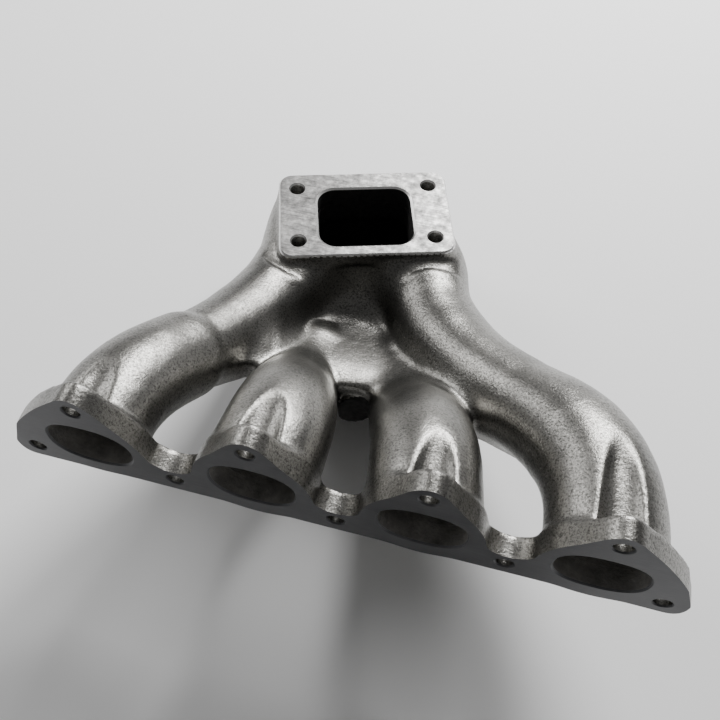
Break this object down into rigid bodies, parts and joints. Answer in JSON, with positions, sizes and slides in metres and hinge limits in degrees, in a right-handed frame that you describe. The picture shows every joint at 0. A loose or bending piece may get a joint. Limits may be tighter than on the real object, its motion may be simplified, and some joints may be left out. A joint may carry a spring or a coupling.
{
  "type": "turbo exhaust manifold",
  "caption": "Cast four-cylinder exhaust manifold: lobed head flange, curved runners and a collector that rises to a rectangular turbocharger flange.",
  "frame": {"origin": "on the head face, halfway along it between ports 2 and 3, on the rim below the middle stud hole, 25 mm below the port centres", "axes": "X along the cylinder head from port 1 to port 4, -Y out of the head face towards the engine, +Z out of the turbocharger flange's face"},
  "size_m": [0.3662, 0.2947, 0.1703],
  "materials": {
    "cast_body_iron": "shot-blasted cast iron with a fine satin grain",
    "head_face_iron": "cast edges with a ground dark grey face",
    "turbo_face_iron": "cast edges with a milled, mottled light grey face"
  },
  "bodies": {
    "root": {"head_flange": "head_face_iron", "runner_1_elbow": "cast_body_iron", "runner_1_branch": "cast_body_iron", "runner_2": "cast_body_iron", "runner_3": "cast_body_iron", "runner_4_elbow": "cast_body_iron", "runner_4_branch": "cast_body_iron", "collector": "cast_body_iron", "neck": "cast_body_iron", "turbo_flange": "turbo_face_iron", "web_1_2": "cast_body_iron", "web_3_4": "cast_body_iron"}
  },
  "joints": []
}
